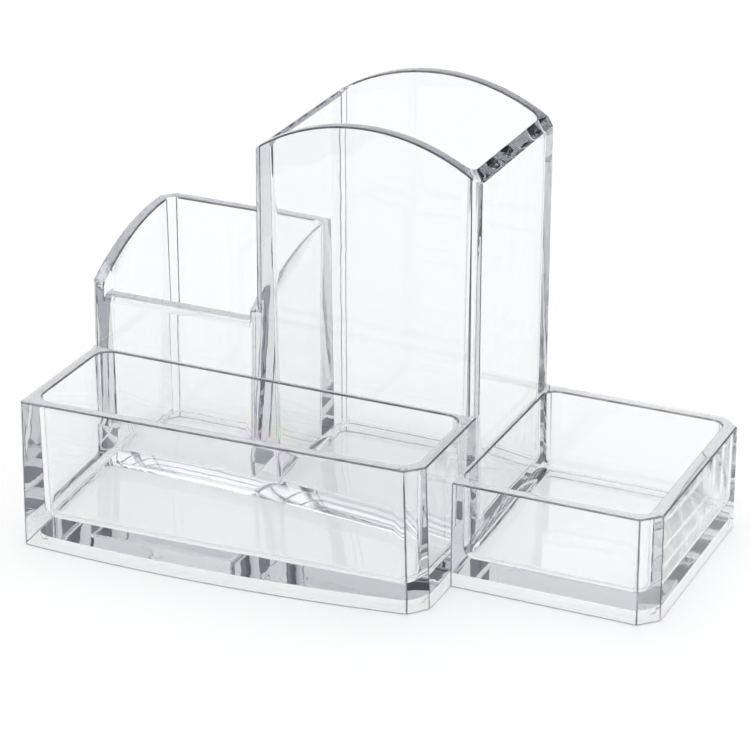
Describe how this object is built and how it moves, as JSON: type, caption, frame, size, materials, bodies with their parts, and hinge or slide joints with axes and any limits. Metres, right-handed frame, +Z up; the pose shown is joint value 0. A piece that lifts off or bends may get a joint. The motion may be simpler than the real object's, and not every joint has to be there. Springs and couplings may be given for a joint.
{
  "type": "brush holder caddy",
  "caption": "Clear desktop vanity caddy with a tall arched brush cup, a scoop-sided bin, a bowed front tray and a low side tray on a shared base.",
  "frame": {"origin": "on the table under the middle of the caddy's plan", "axes": "+X to the right along the front tray, -Y to the bowed front, +Z up along the brush cup"},
  "size_m": [0.168, 0.0932, 0.1152],
  "materials": {
    "clear_base": "clear polished styrene or acrylic",
    "clear_tray": "clear polished styrene or acrylic",
    "clear_bin": "clear polished styrene or acrylic",
    "clear_cup": "clear polished styrene or acrylic",
    "clear_side": "clear polished styrene or acrylic"
  },
  "bodies": {
    "root": {"base_plinth": "clear_base", "front_tray": "clear_tray", "rear_bin": "clear_bin", "brush_cup": "clear_cup", "side_tray": "clear_side"}
  },
  "joints": []
}
